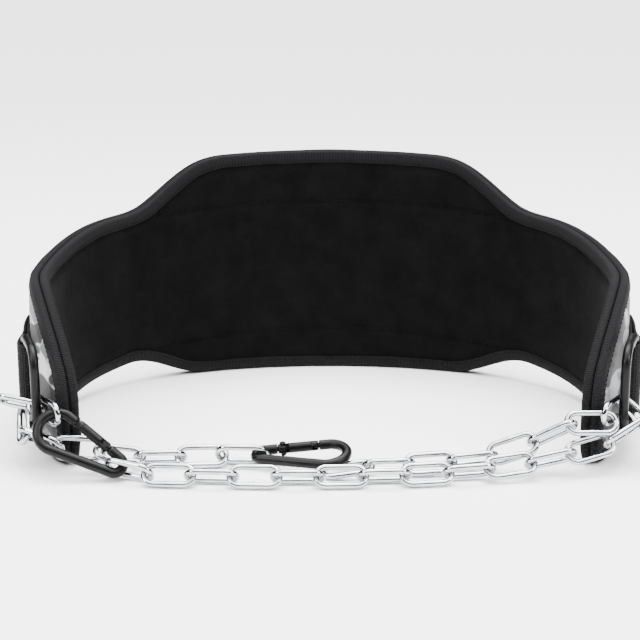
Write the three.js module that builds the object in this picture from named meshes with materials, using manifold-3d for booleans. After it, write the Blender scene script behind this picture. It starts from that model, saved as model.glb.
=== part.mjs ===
import * as THREE from 'three';
import Module from 'manifold-3d';

// A weight belt for hanging plates: a stiff camo shell with a soft black pad inside it, both bound
// along their whole edge, a webbing strap sewn round the outside that holds a D-ring at each end,
// and a steel chain with two snap hooks lying in front of the belt. Millimetres, Z up, the middle
// of the back towards +Y and the open front towards -Y.

// Belt: overall sizes
const beltHalfLength = 398;
const backHeight = 182;
const headingAtEnd = { first: 68.7, third: 162.8, fifth: -112.1 };
const columnStep = 22;
const panelRows = 3;

// Layers, measured outwards from the face where shell and pad meet
const layerGap = 0.3;
const bindingDepth = 6.9;
const bindingTape = 0.9;
const bindingWidth = 9.2;
const fitGap = 0.3;
const panelBulge = 0.6;
const bulgeWidth = 3.4;

// Webbing strap
const strapWidth = 50;
const strapThickness = 2.2;
const strapLift = 0.35;
const foldLength = 55;
const foldGap = 0.4;

// D-rings: a straight bar in the strap's fold and a bow reaching forward past it
const ringWire = 3.2;
const ringBarAlong = 343;
const ringBarOut = 14;
const ringFrontAlong = 383;
const ringFrontOut = 19;
const ringHalfHeight = 29.5;
const ringCorner = 13;
const ringMiddleHeight = 51;

// Chain links
const linkWire = 2.05;
const linkLength = 37.4;
const linkWidth = 17.8;
const linkPitch = 28.4;
const linkRoll = 43;

// Snap hooks: pear shaped, bent from round bar, with a sprung gate
const hookLength = 70;
const hookBar = 3.5;
const hookWideEnd = 34;
const hookNarrowEnd = 19;
const gatePivotFromTip = 21;
const gateSpan = 24.4;
const tongueThickness = 2.4;
const tongueHeight = 5;
const tongueReach = 4;
const gateGap = 0.5;
const rivetRadius = 1;
const rivetHeadRadius = 2;
const rivetHeadThickness = 0.9;

// Edge of the belt: how far along the half length, height of the upper and the lower edge
// as shares of the back height. The back stands up in a hump, the sides are lower and
// their lower edge is arched, the ends are rounded off.
const edgeRows = [
  { along: 0, upper: 1, lower: 0 },
  { along: 0.146, upper: 0.992, lower: 0 },
  { along: 0.234, upper: 0.983, lower: 0 },
  { along: 0.271, upper: 0.964, lower: 0 },
  { along: 0.302, upper: 0.929, lower: 0.008 },
  { along: 0.337, upper: 0.875, lower: 0.036 },
  { along: 0.372, upper: 0.816, lower: 0.069 },
  { along: 0.402, upper: 0.775, lower: 0.091 },
  { along: 0.432, upper: 0.759, lower: 0.099 },
  { along: 0.477, upper: 0.751, lower: 0.085 },
  { along: 0.528, upper: 0.735, lower: 0.071 },
  { along: 0.583, upper: 0.707, lower: 0.052 },
  { along: 0.643, upper: 0.673, lower: 0.027 },
  { along: 0.711, upper: 0.648, lower: 0.008 },
  { along: 0.779, upper: 0.643, lower: 0 },
  { along: 0.842, upper: 0.632, lower: 0 },
  { along: 0.879, upper: 0.593, lower: 0 },
  { along: 0.917, upper: 0.533, lower: 0 },
  { along: 0.95, upper: 0.467, lower: 0 },
  { along: 0.97, upper: 0.412, lower: 0.002 },
  { along: 0.99, upper: 0.341, lower: 0.019 },
  { along: 1, upper: 0.275, lower: 0.077 },
];

// Height of the strap's middle line, as a share of the back height
const strapRows = [
  { along: 0, middle: 0.478 },
  { along: 0.41, middle: 0.44 },
  { along: 0.578, middle: 0.374 },
  { along: 0.711, middle: 0.313 },
  { along: 0.862, middle: 0.28 },
  { along: 1, middle: 0.28 },
];

// Value of one column of a table at a distance along the belt, straight between its rows
function tableValue(rows, column, along) {
  const share = Math.min(1, Math.abs(along) / beltHalfLength);
  let next = 1;
  while (next < rows.length - 1 && rows[next].along < share) {
    next += 1;
  }
  const before = rows[next - 1];
  const after = rows[next];
  const part = (share - before.along) / (after.along - before.along);
  return before[column] + (after[column] - before[column]) * part;
}

// Plan of the belt: the wall turns more and more sharply round the hips, then eases at the ends.
// Positions are added up in short steps from the middle of the back.
const planSteps = 400;
const planTable = [{ x: 0, y: 0, heading: 0 }];
for (let step = 1; step <= planSteps; step += 1) {
  const share = step / planSteps;
  const degrees = headingAtEnd.first * share + headingAtEnd.third * share ** 3
    + headingAtEnd.fifth * share ** 5;
  const heading = THREE.MathUtils.degToRad(degrees);
  const last = planTable[step - 1];
  const length = beltHalfLength / planSteps;
  planTable.push({
    x: last.x + length * (Math.cos(heading) + Math.cos(last.heading)) / 2,
    y: last.y - length * (Math.sin(heading) + Math.sin(last.heading)) / 2,
    heading,
  });
}

// Point of the belt wall: distance along it (right side positive), distance out of it, height
function wallPoint(along, out, height) {
  const side = along < 0 ? -1 : 1;
  const place = Math.min(planSteps, Math.abs(along) / beltHalfLength * planSteps);
  const index = Math.min(planSteps - 1, Math.floor(place));
  const part = place - index;
  const from = planTable[index];
  const to = planTable[index + 1];
  const heading = from.heading + (to.heading - from.heading) * part;
  const x = from.x + (to.x - from.x) * part + out * Math.sin(heading);
  const y = from.y + (to.y - from.y) * part + out * Math.cos(heading);
  return new THREE.Vector3(side * x, y, height);
}

// Geometry from points and triangles, turned the right way out
function solidFrom(points, triangles) {
  let volume = 0;
  for (const [a, b, c] of triangles) {
    volume += points[a].dot(new THREE.Vector3().crossVectors(points[b], points[c]));
  }
  const ordered = volume < 0 ? triangles.map(([a, b, c]) => [a, c, b]) : triangles;
  const geometry = new THREE.BufferGeometry();
  geometry.setAttribute('position', new THREE.Float32BufferAttribute(
    points.flatMap((point) => [point.x, point.y, point.z]), 3));
  geometry.setIndex(ordered.flat());
  geometry.computeVertexNormals();
  return geometry;
}

// Skin over a row of equal rings of points; the row closes on itself or ends in flat caps
function skinRings(rings, closed) {
  const points = rings.flat();
  const sides = rings[0].length;
  const triangles = [];
  const spans = closed ? rings.length : rings.length - 1;
  for (let ring = 0; ring < spans; ring += 1) {
    const here = ring * sides;
    const there = ((ring + 1) % rings.length) * sides;
    for (let side = 0; side < sides; side += 1) {
      const next = (side + 1) % sides;
      triangles.push([here + side, here + next, there + next]);
      triangles.push([here + side, there + next, there + side]);
    }
  }
  if (!closed) {
    const end = (rings.length - 1) * sides;
    const flat = rings[0].map((point, index) => index);
    const corners = THREE.ShapeUtils.triangulateShape(capOutline(rings[0]), []);
    for (const [a, b, c] of corners) {
      triangles.push([flat[a], flat[c], flat[b]]);
    }
    const endCorners = THREE.ShapeUtils.triangulateShape(capOutline(rings[rings.length - 1]), []);
    for (const [a, b, c] of endCorners) {
      triangles.push([end + a, end + b, end + c]);
    }
  }
  return solidFrom(points, triangles);
}

// Ring of points laid out flat in its own plane, counterclockwise seen along the skin
function capOutline(ring) {
  const middle = new THREE.Vector3();
  ring.forEach((point) => middle.addScaledVector(point, 1 / ring.length));
  const across = new THREE.Vector3().subVectors(ring[0], middle).normalize();
  const normal = new THREE.Vector3();
  ring.forEach((point, index) => {
    const next = ring[(index + 1) % ring.length];
    normal.add(new THREE.Vector3().crossVectors(
      new THREE.Vector3().subVectors(point, middle), new THREE.Vector3().subVectors(next, middle)));
  });
  const up = new THREE.Vector3().crossVectors(normal.normalize(), across);
  return ring.map((point) => {
    const offset = new THREE.Vector3().subVectors(point, middle);
    return new THREE.Vector2(offset.dot(across), offset.dot(up));
  });
}

// Round wire bent along points that lie in one plane
function bentWire(path, planeNormal, radius, sides, closed) {
  const rings = path.map((point, index) => {
    const count = path.length;
    const before = closed ? path[(index + count - 1) % count] : path[Math.max(0, index - 1)];
    const after = closed ? path[(index + 1) % count] : path[Math.min(count - 1, index + 1)];
    const comingIn = new THREE.Vector3().subVectors(point, before).normalize();
    const goingOut = new THREE.Vector3().subVectors(after, point).normalize();
    const direction = new THREE.Vector3().addVectors(comingIn, goingOut).normalize();
    const bothWays = comingIn.lengthSq() > 0 && goingOut.lengthSq() > 0;
    const stretch = bothWays ? 1 / Math.max(0.5, direction.dot(comingIn)) : 1;
    const across = new THREE.Vector3().crossVectors(planeNormal, direction).normalize();
    return Array.from({ length: sides }, (unused, side) => {
      const angle = 2 * Math.PI * (side + 0.5) / sides;
      return point.clone()
        .addScaledVector(across, radius * stretch * Math.cos(angle))
        .addScaledVector(planeNormal, radius * Math.sin(angle));
    });
  });
  return skinRings(rings, closed);
}

// Distances along the belt at which every layer has a section: those of the edge table,
// with long stretches divided so that all layers bend at the same places
const halfColumns = [0];
for (let row = 1; row < edgeRows.length; row += 1) {
  const from = edgeRows[row - 1].along * beltHalfLength;
  const to = edgeRows[row].along * beltHalfLength;
  const parts = Math.ceil((to - from) / columnStep - 0.3);
  for (let part = 1; part <= parts; part += 1) {
    halfColumns.push(from + (to - from) * part / parts);
  }
}
const columns = [...halfColumns.slice(1).reverse().map((along) => -along), ...halfColumns];

// Edge of the belt as one loop in the flat: lower edge, right end, upper edge, left end
function edgeLoop() {
  const loop = [];
  const last = columns.length - 1;
  const edgeAt = (index, column) => tableValue(edgeRows, column, columns[index]) * backHeight;
  const endPoint = (index, row) => {
    const low = edgeAt(index, 'lower');
    return new THREE.Vector2(columns[index], low + (edgeAt(index, 'upper') - low) * row / panelRows);
  };
  columns.forEach((along, index) => loop.push(new THREE.Vector2(along, edgeAt(index, 'lower'))));
  for (let row = 1; row < panelRows; row += 1) {
    loop.push(endPoint(last, row));
  }
  for (let index = last; index >= 0; index -= 1) {
    loop.push(new THREE.Vector2(columns[index], edgeAt(index, 'upper')));
  }
  for (let row = panelRows - 1; row > 0; row -= 1) {
    loop.push(endPoint(0, row));
  }
  return loop;
}
const beltEdge = edgeLoop();

// Direction in which each point of the edge loop moves inwards, with its stretch at a corner
const inwardStep = beltEdge.map((point, index) => {
  const count = beltEdge.length;
  const before = beltEdge[(index + count - 1) % count];
  const after = beltEdge[(index + 1) % count];
  const comingIn = new THREE.Vector2().subVectors(point, before).normalize();
  const goingOut = new THREE.Vector2().subVectors(after, point).normalize();
  const normalIn = new THREE.Vector2(-comingIn.y, comingIn.x);
  const normalOut = new THREE.Vector2(-goingOut.y, goingOut.x);
  const middle = normalIn.clone().add(normalOut).normalize();
  return middle.multiplyScalar(1 / middle.dot(normalIn));
});

// The edge loop moved inwards by a distance
function insetEdge(distance) {
  return beltEdge.map((point, index) => point.clone().addScaledVector(inwardStep[index], distance));
}

// Panel of one layer: thin where the binding holds it, full between the bindings
function panelGeometry(sideSign) {
  const edgeInset = bindingTape + fitGap;
  const thinInset = bindingWidth + fitGap;
  const fullInset = thinInset + bulgeWidth;
  const thinNear = layerGap + bindingTape + fitGap;
  const thinFar = layerGap + bindingDepth - bindingTape - fitGap;
  const fullNear = layerGap;
  const fullFar = layerGap + bindingDepth + panelBulge;
  const points = [];
  const triangles = [];
  const count = beltEdge.length;
  const columnCount = columns.length;
  const place = (flat, out) => {
    points.push(wallPoint(flat.x, sideSign * out, flat.y));
    return points.length - 1;
  };
  const face = (outs, turned) => {
    const add = (a, b, c) => triangles.push(turned ? [a, c, b] : [a, b, c]);
    const insets = [edgeInset, thinInset, fullInset];
    const loops = insets.map((inset, level) => insetEdge(inset).map((flat) => place(flat, outs[level])));
    for (let level = 0; level < 2; level += 1) {
      for (let index = 0; index < count; index += 1) {
        const next = (index + 1) % count;
        add(loops[level][index], loops[level][next], loops[level + 1][next]);
        add(loops[level][index], loops[level + 1][next], loops[level + 1][index]);
      }
    }
    const inner = insetEdge(fullInset);
    const grid = [];
    for (let column = 0; column < columnCount; column += 1) {
      const lowIndex = column;
      const highIndex = columnCount + panelRows - 1 + (columnCount - 1 - column);
      const line = [loops[2][lowIndex]];
      for (let row = 1; row < panelRows; row += 1) {
        if (column === columnCount - 1) {
          line.push(loops[2][columnCount + row - 1]);
        } else if (column === 0) {
          line.push(loops[2][count - row]);
        } else {
          const flat = inner[lowIndex].clone().lerp(inner[highIndex], row / panelRows);
          line.push(place(flat, outs[2]));
        }
      }
      line.push(loops[2][highIndex]);
      grid.push(line);
    }
    for (let column = 0; column + 1 < columnCount; column += 1) {
      for (let row = 0; row < panelRows; row += 1) {
        add(grid[column][row], grid[column + 1][row], grid[column + 1][row + 1]);
        add(grid[column][row], grid[column + 1][row + 1], grid[column][row + 1]);
      }
    }
    return loops[0];
  };
  const nearEdge = face([thinNear, thinNear, fullNear], true);
  const farEdge = face([thinFar, thinFar, fullFar], false);
  for (let index = 0; index < count; index += 1) {
    const next = (index + 1) % count;
    triangles.push([nearEdge[index], nearEdge[next], farEdge[next]]);
    triangles.push([nearEdge[index], farEdge[next], farEdge[index]]);
  }
  return solidFrom(points, triangles);
}

// Binding of one layer: a tape folded over the panel's edge all the way round
function bindingGeometry(sideSign) {
  const near = layerGap;
  const far = layerGap + bindingDepth;
  const section = [
    { out: near, inset: bindingWidth },
    { out: near, inset: 0 },
    { out: far, inset: 0 },
    { out: far, inset: bindingWidth },
    { out: far - bindingTape, inset: bindingWidth },
    { out: far - bindingTape, inset: bindingTape },
    { out: near + bindingTape, inset: bindingTape },
    { out: near + bindingTape, inset: bindingWidth },
  ];
  const loops = section.map((corner) => insetEdge(corner.inset));
  const rings = beltEdge.map((unused, index) => section.map((corner, level) => {
    const flat = loops[level][index];
    return wallPoint(flat.x, sideSign * corner.out, flat.y);
  }));
  return skinRings(rings, true);
}

// Webbing: along the outer face, round each ring's bar and back over itself
function strapGeometry() {
  const faceOut = layerGap + bindingDepth + panelBulge;
  const lieOut = faceOut + strapLift + strapThickness / 2;
  const foldOut = lieOut + strapThickness + foldGap;
  const turnRadius = ringBarOut - lieOut;
  const turnSteps = 6;
  const halfPath = halfColumns.filter((along) => along < ringBarAlong - 1)
    .map((along) => ({ along, out: lieOut }));
  for (let step = 0; step <= turnSteps; step += 1) {
    const angle = -Math.PI / 2 + Math.PI * step / turnSteps;
    halfPath.push({
      along: ringBarAlong + turnRadius * Math.cos(angle),
      out: ringBarOut + turnRadius * Math.sin(angle),
    });
  }
  const foldStart = ringBarAlong - foldLength * 0.4;
  halfPath.push({ along: ringBarAlong - foldLength * 0.14, out: ringBarOut + turnRadius * 0.72 });
  halfPath.push({ along: foldStart, out: foldOut + 0.5 });
  halfColumns.filter((along) => along < foldStart - 2 && along > ringBarAlong - foldLength + 2)
    .reverse()
    .forEach((along) => halfPath.push({ along, out: foldOut }));
  halfPath.push({ along: ringBarAlong - foldLength, out: foldOut });
  const path = [
    ...halfPath.slice(1).reverse().map((spot) => ({ along: -spot.along, out: spot.out })),
    ...halfPath,
  ];
  const rings = path.map((spot, index) => {
    const before = path[Math.max(0, index - 1)];
    const after = path[Math.min(path.length - 1, index + 1)];
    const here = wallPoint(spot.along, spot.out, 0);
    const comingIn = wallPoint(before.along, before.out, 0);
    const goingOut = wallPoint(after.along, after.out, 0);
    const inward = new THREE.Vector3().subVectors(here, comingIn).normalize();
    const outward = new THREE.Vector3().subVectors(goingOut, here).normalize();
    const direction = new THREE.Vector3().addVectors(inward, outward).normalize();
    const corner = inward.lengthSq() > 0 && outward.lengthSq() > 0;
    const stretch = corner ? 1 / Math.max(0.6, direction.dot(inward)) : 1;
    const across = new THREE.Vector3(-direction.y, direction.x, 0)
      .multiplyScalar(strapThickness / 2 * stretch);
    const middle = tableValue(strapRows, 'middle', spot.along) * backHeight;
    const corners = [
      { turn: -1, height: -strapWidth / 2 },
      { turn: 1, height: -strapWidth / 2 },
      { turn: 1, height: strapWidth / 2 },
      { turn: -1, height: strapWidth / 2 },
    ];
    return corners.map((at) => {
      const point = here.clone().addScaledVector(across, at.turn);
      point.z = middle + at.height;
      return point;
    });
  });
  return skinRings(rings, false);
}

// D-ring on one side of the belt: straight bar in the fold, rounded corners, straight front
function ringGeometry(sideSign) {
  const bar = wallPoint(sideSign * ringBarAlong, ringBarOut, ringMiddleHeight);
  const front = wallPoint(sideSign * ringFrontAlong, ringFrontOut, ringMiddleHeight);
  const forward = new THREE.Vector3().subVectors(front, bar);
  const depth = forward.length();
  forward.normalize();
  const at = (ahead, height) => bar.clone().addScaledVector(forward, ahead)
    .add(new THREE.Vector3(0, 0, height));
  const cornerSteps = 4;
  const barCorner = ringWire;
  const path = [at(0, ringHalfHeight - barCorner), at(0, 0), at(0, -ringHalfHeight + barCorner),
    at(barCorner, -ringHalfHeight)];
  for (let step = 0; step <= cornerSteps; step += 1) {
    const angle = -Math.PI / 2 + Math.PI / 2 * step / cornerSteps;
    path.push(at(depth - ringCorner + ringCorner * Math.cos(angle),
      -ringHalfHeight + ringCorner + ringCorner * Math.sin(angle)));
  }
  for (let step = 0; step <= cornerSteps; step += 1) {
    const angle = Math.PI / 2 * step / cornerSteps;
    path.push(at(depth - ringCorner + ringCorner * Math.cos(angle),
      ringHalfHeight - ringCorner + ringCorner * Math.sin(angle)));
  }
  path.push(at(barCorner, ringHalfHeight));
  const normal = new THREE.Vector3().crossVectors(forward, new THREE.Vector3(0, 0, 1));
  return bentWire(path, normal, ringWire, 8, true);
}

// One chain link: two straight sides and two half-round bows, lying in its own x-y plane
function linkGeometry() {
  const bowRadius = linkWidth / 2 - linkWire;
  const straight = linkLength / 2 - linkWire - bowRadius;
  const bowSteps = 5;
  const path = [];
  for (const end of [1, -1]) {
    for (let step = 0; step <= bowSteps; step += 1) {
      const angle = Math.PI / 2 - Math.PI * step / bowSteps;
      path.push(new THREE.Vector3(
        end * (straight + bowRadius * Math.cos(angle)), end * bowRadius * Math.sin(angle), 0));
    }
  }
  return bentWire(path, new THREE.Vector3(0, 0, 1), linkWire, 5, true);
}

// Solids cut or joined as closed bodies
const wasm = await Module();
wasm.setup();

// Closed body made from a geometry
function bodyOf(geometry) {
  const merged = new Map();
  const points = [];
  const flat = geometry.index ? geometry.toNonIndexed() : geometry;
  const spots = flat.getAttribute('position');
  const corners = [];
  for (let index = 0; index < spots.count; index += 1) {
    const place = [spots.getX(index), spots.getY(index), spots.getZ(index)];
    const key = place.map((value) => Math.round(value * 1e4)).join(' ');
    if (!merged.has(key)) {
      merged.set(key, points.length / 3);
      points.push(...place);
    }
    corners.push(merged.get(key));
  }
  const triangles = [];
  for (let index = 0; index < corners.length; index += 3) {
    const [a, b, c] = corners.slice(index, index + 3);
    if (a !== b && b !== c && a !== c) {
      triangles.push(a, b, c);
    }
  }
  return new wasm.Manifold(new wasm.Mesh({
    numProp: 3,
    vertProperties: new Float32Array(points),
    triVerts: new Uint32Array(triangles),
  }));
}

// Geometry of a closed body
function geometryOf(body) {
  const mesh = body.getMesh();
  const geometry = new THREE.BufferGeometry();
  geometry.setAttribute('position', new THREE.Float32BufferAttribute(mesh.vertProperties, 3));
  geometry.setIndex(Array.from(mesh.triVerts));
  geometry.computeVertexNormals();
  return geometry;
}

// Snap hook, lying in its own x-y plane: x runs from the middle of the bar at the narrow tip
// towards the wide end, the gate is on the +y side
const wideRadius = hookWideEnd / 2 - hookBar;
const narrowRadius = hookNarrowEnd / 2 - hookBar;
const wideCentre = hookLength - 2 * hookBar - wideRadius;
const gateLine = new THREE.Vector3(wideCentre - narrowRadius, wideRadius - narrowRadius, 0).normalize();
const pivotAhead = gatePivotFromTip - hookBar;
const gatePivot = new THREE.Vector3(narrowRadius, narrowRadius, 0)
  .addScaledVector(gateLine, (pivotAhead - narrowRadius) / gateLine.x);
const gateAngle = Math.atan2(gateLine.y, gateLine.x);

// Point on the gate's line at a distance from its pivot
function onGateLine(distance) {
  return gatePivot.clone().addScaledVector(gateLine, distance);
}

// Block whose middle lies on the gate's line, length along that line
function gateBlock(from, to, height, thickness) {
  const block = new THREE.BoxGeometry(to - from, height, thickness);
  const middle = onGateLine((from + to) / 2);
  block.rotateZ(gateAngle);
  block.translate(middle.x, middle.y, 0);
  return bodyOf(block);
}

// Cylinder across the hook on the gate's pivot
function pivotCylinder(radius, from, to) {
  const cylinder = new THREE.CylinderGeometry(radius, radius, to - from, 10);
  cylinder.rotateX(Math.PI / 2);
  cylinder.translate(gatePivot.x, gatePivot.y, (from + to) / 2);
  return bodyOf(cylinder);
}

// Frame: the bar from the nose round the wide end, along the spine and round the narrow end,
// with a flat tongue at the nose and another, drilled for the rivet, at the pivot
function hookFrameGeometry() {
  const path = [onGateLine(gateSpan + gateGap)];
  const wideSteps = 8;
  for (let step = 0; step <= wideSteps; step += 1) {
    const angle = Math.PI / 2 - Math.PI * step / wideSteps;
    path.push(new THREE.Vector3(
      wideCentre + wideRadius * Math.cos(angle), wideRadius * Math.sin(angle), 0));
  }
  const narrowSteps = 6;
  for (let step = 0; step <= narrowSteps; step += 1) {
    const angle = -Math.PI / 2 - Math.PI * step / narrowSteps;
    path.push(new THREE.Vector3(
      narrowRadius + narrowRadius * Math.cos(angle), narrowRadius * Math.sin(angle), 0));
  }
  path.push(onGateLine(-hookBar - gateGap));
  const bar = bodyOf(bentWire(path, new THREE.Vector3(0, 0, 1), hookBar, 8, false));
  const noseTongue = gateBlock(gateSpan - tongueReach, gateSpan + gateGap + 1,
    tongueHeight, tongueThickness);
  const pivotTongue = gateBlock(-hookBar - gateGap - 1, tongueHeight / 2,
    tongueHeight, tongueThickness);
  const hole = pivotCylinder(rivetRadius + fitGap, -hookBar, hookBar);
  return geometryOf(bar.add(noseTongue).add(pivotTongue).subtract(hole));
}

// Gate: a round bar with a rounded end over the pivot, slotted at both ends for the tongues
function hookGateGeometry() {
  const profile = [new THREE.Vector2(0, -hookBar)];
  const roundSteps = 3;
  for (let step = 1; step < roundSteps; step += 1) {
    const angle = -Math.PI / 2 + Math.PI / 2 * step / roundSteps;
    profile.push(new THREE.Vector2(hookBar * Math.cos(angle), hookBar * Math.sin(angle)));
  }
  profile.push(new THREE.Vector2(hookBar, 0));
  profile.push(new THREE.Vector2(hookBar, gateSpan));
  profile.push(new THREE.Vector2(0, gateSpan));
  const rod = new THREE.LatheGeometry(profile, 10);
  rod.rotateZ(-Math.PI / 2);
  rod.rotateZ(gateAngle);
  rod.translate(gatePivot.x, gatePivot.y, 0);
  const slotWidth = tongueThickness + 2 * fitGap;
  const slotHeight = 3 * hookBar;
  const pivotSlot = gateBlock(-2 * hookBar, tongueHeight / 2 * Math.SQRT2 + gateGap,
    slotHeight, slotWidth);
  const noseSlot = gateBlock(gateSpan - tongueReach - gateGap - fitGap, gateSpan + hookBar,
    slotHeight, slotWidth);
  const hole = pivotCylinder(rivetRadius + fitGap, -2 * hookBar, 2 * hookBar);
  return geometryOf(bodyOf(rod).subtract(pivotSlot).subtract(noseSlot).subtract(hole));
}

// Rivet through the pivot with a flat head on each side
function hookRivetGeometry() {
  const headFrom = hookBar + fitGap;
  const shank = pivotCylinder(rivetRadius, -headFrom - 0.2, headFrom + 0.2);
  const headOver = pivotCylinder(rivetHeadRadius, headFrom, headFrom + rivetHeadThickness);
  const headUnder = pivotCylinder(rivetHeadRadius, -headFrom - rivetHeadThickness, -headFrom);
  return geometryOf(shank.add(headOver).add(headUnder));
}

// Materials by slot
function paint(color, roughness, metalness) {
  return () => new THREE.MeshStandardMaterial({ color, roughness, metalness });
}
const outerFabric = paint('#8c8f8d', 0.85, 0);
const liningFabric = paint('#17181a', 0.95, 0);
const bindingFabric = paint('#1b1c1e', 0.85, 0);
const webbingFabric = paint('#141516', 0.8, 0);
const blackPaint = paint('#1d1e20', 0.45, 0.4);
const zincSteel = paint('#c9ccd0', 0.28, 1);

// Everything is placed in the belt's own frame, then moved so that the whole object stands
// over the middle of its base
const belt = new THREE.Group();
belt.name = 'dip_belt';
const placed = new THREE.Group();
placed.name = 'belt_frame';
belt.add(placed);

function addPiece(parent, name, geometry, material) {
  const mesh = new THREE.Mesh(geometry, material());
  mesh.name = name;
  parent.add(mesh);
  return mesh;
}

addPiece(placed, 'outer_shell', panelGeometry(1), outerFabric);
addPiece(placed, 'inner_pad', panelGeometry(-1), liningFabric);
addPiece(placed, 'outer_binding', bindingGeometry(1), bindingFabric);
addPiece(placed, 'inner_binding', bindingGeometry(-1), bindingFabric);
addPiece(placed, 'webbing_strap', strapGeometry(), webbingFabric);
addPiece(placed, 'd_ring_left', ringGeometry(-1), blackPaint);
addPiece(placed, 'd_ring_right', ringGeometry(1), blackPaint);

// Frame with x along a direction, y level before it is rolled about x
function rolledFrame(direction, rollDegrees) {
  const along = direction.clone().normalize();
  const up = new THREE.Vector3(0, 0, 1);
  up.addScaledVector(along, -up.dot(along)).normalize();
  const level = new THREE.Vector3().crossVectors(up, along);
  const roll = THREE.MathUtils.degToRad(rollDegrees);
  const across = level.clone().multiplyScalar(Math.cos(roll)).addScaledVector(up, Math.sin(roll));
  return new THREE.Matrix4().makeBasis(along, across, new THREE.Vector3().crossVectors(along, across));
}

// Direction from a heading in plan and a climb, both in degrees
function directionOf(heading, climb) {
  const turn = THREE.MathUtils.degToRad(heading);
  const rise = THREE.MathUtils.degToRad(climb);
  return new THREE.Vector3(
    Math.cos(turn) * Math.cos(rise), Math.sin(turn) * Math.cos(rise), Math.sin(rise));
}

function setPose(object, position, direction, roll) {
  object.position.copy(position);
  object.quaternion.setFromRotationMatrix(rolledFrame(direction, roll));
}

// Chain, long length: points that the even stretch in front passes over, from the left hook on
const frontRoute = [
  { x: -106.7, y: -290.1, z: 6.9 },
  { x: -78.4, y: -292.2, z: 7 },
  { x: -21.7, y: -293.9, z: 7 },
  { x: 35.1, y: -292, z: 7 },
  { x: 63.3, y: -289.3, z: 7 },
  { x: 91.4, y: -285.5, z: 7.8 },
];

// The even stretch behind it, from the right ring on
const backRoute = [
  { x: 95.2, y: -266.6, z: 9.4 },
  { x: 67.2, y: -269.3, z: 7.2 },
  { x: 39, y: -272, z: 7 },
];

// The even stretch of the short length, from the middle hook on
const shortRoute = [
  { x: -87.8, y: -252.3, z: 6.7 },
  { x: -116, y: -253.7, z: 6.7 },
];

// Links that are turned by what they hook into or pass round, each with the heading and climb
// of its length and its roll about that length
const leftHookLink = { x: -133.6, y: -282.9, z: 8.2, heading: -24, climb: -2.5, roll: -55 };
const rightRingLinks = [
  { x: 119.4, y: -281, z: 9.8, heading: 10, climb: 5, roll: 44.5 },
  { x: 147, y: -275.6, z: 12.9, heading: 12, climb: 8, roll: -46 },
  { x: 174.3, y: -269.4, z: 17.6, heading: 14.5, climb: 11.5, roll: 47.5 },
  { x: 199.4, y: -260.1, z: 26.3, heading: 25, climb: 23, roll: -45.5 },
  { x: 209.1, y: -244.6, z: 33.9, heading: 132.5, climb: 28, roll: 1.5 },
  { x: 192.1, y: -252.9, z: 39.8, heading: -123.5, climb: -0.5, roll: 89.5 },
  { x: 175, y: -266.4, z: 34.8, heading: -179.5, climb: 0, roll: -57 },
  { x: 148.6, y: -266.5, z: 27.5, heading: 174, climb: -27.5, roll: 38 },
  { x: 122.6, y: -265.7, z: 16.5, heading: -179, climb: -19, roll: -50 },
];
const lastLongLink = { x: 11.5, y: -273.6, z: 4.8, heading: -176.5, climb: -7, roll: -10 };
const firstShortLink = { x: -60.2, y: -253, z: 8.2, heading: 177, climb: 0, roll: 62 };
const leftRingLinks = [
  { x: -142.8, y: -259, z: 10.8, heading: -162.5, climb: 12.5, roll: -20 },
  { x: -169.3, y: -264.6, z: 16.6, heading: -169.5, climb: 7.5, roll: -76.5 },
  { x: -194.9, y: -261.6, z: 21.8, heading: 153.5, climb: 9, roll: 53 },
  { x: -209.5, y: -243.9, z: 29.1, heading: 98, climb: 35.5, roll: -59.5 },
  { x: -211.4, y: -239.9, z: 41, heading: -10.5, climb: -8.5, roll: -38.5 },
  { x: -190.7, y: -255.4, z: 40.5, heading: 123.5, climb: -1, roll: -89.5 },
];

// Snap hooks: where the middle of the bar is at the narrow tip, and how each lies
const middleHook = { x: -50.8, y: -252.6, z: 7.9, heading: -11, climb: 4, roll: 12 };
const leftHook = { x: -138.5, y: -280.5, z: 8, heading: 168.5, climb: 26.5, roll: 132 };

// Links along a route: each one pitch on from the last, rolled to one side and the other in turn
function evenLinks(route, count, firstRoll) {
  const curve = new THREE.CatmullRomCurve3(
    route.map((spot) => new THREE.Vector3(spot.x, spot.y, spot.z)), false, 'centripetal');
  const samples = curve.getSpacedPoints(2000);
  const places = [samples[0]];
  const first = new THREE.Vector3().subVectors(samples[1], samples[0]).normalize();
  const ahead = [first];
  let index = 0;
  while (places.length < count) {
    const last = places[places.length - 1];
    while (index < samples.length - 1 && samples[index].distanceTo(last) < linkPitch) {
      index += 1;
    }
    places.push(samples[index]);
    const tangent = new THREE.Vector3()
      .subVectors(samples[Math.min(index + 1, samples.length - 1)], samples[index - 1]);
    ahead.push(tangent.normalize());
  }
  return places.map((position, place) => ({
    position, direction: ahead[place], roll: place % 2 === 0 ? firstRoll : -firstRoll,
  }));
}

// One placed link or hook from its row
function turnedPlace(row) {
  return {
    position: new THREE.Vector3(row.x, row.y, row.z),
    direction: directionOf(row.heading, row.climb),
    roll: row.roll,
  };
}

const linkPlaces = [
  turnedPlace(leftHookLink),
  ...evenLinks(frontRoute, 8, linkRoll),
  ...rightRingLinks.map(turnedPlace),
  ...evenLinks(backRoute, 3, linkRoll),
  turnedPlace(lastLongLink),
  turnedPlace(firstShortLink),
  ...evenLinks(shortRoute, 2, -linkRoll),
  ...leftRingLinks.map(turnedPlace),
];
linkPlaces.forEach((place, index) => {
  const name = `chain_link_${String(index + 1).padStart(2, '0')}`;
  const link = addPiece(placed, name, linkGeometry(), zincSteel);
  setPose(link, place.position, place.direction, place.roll);
});

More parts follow.
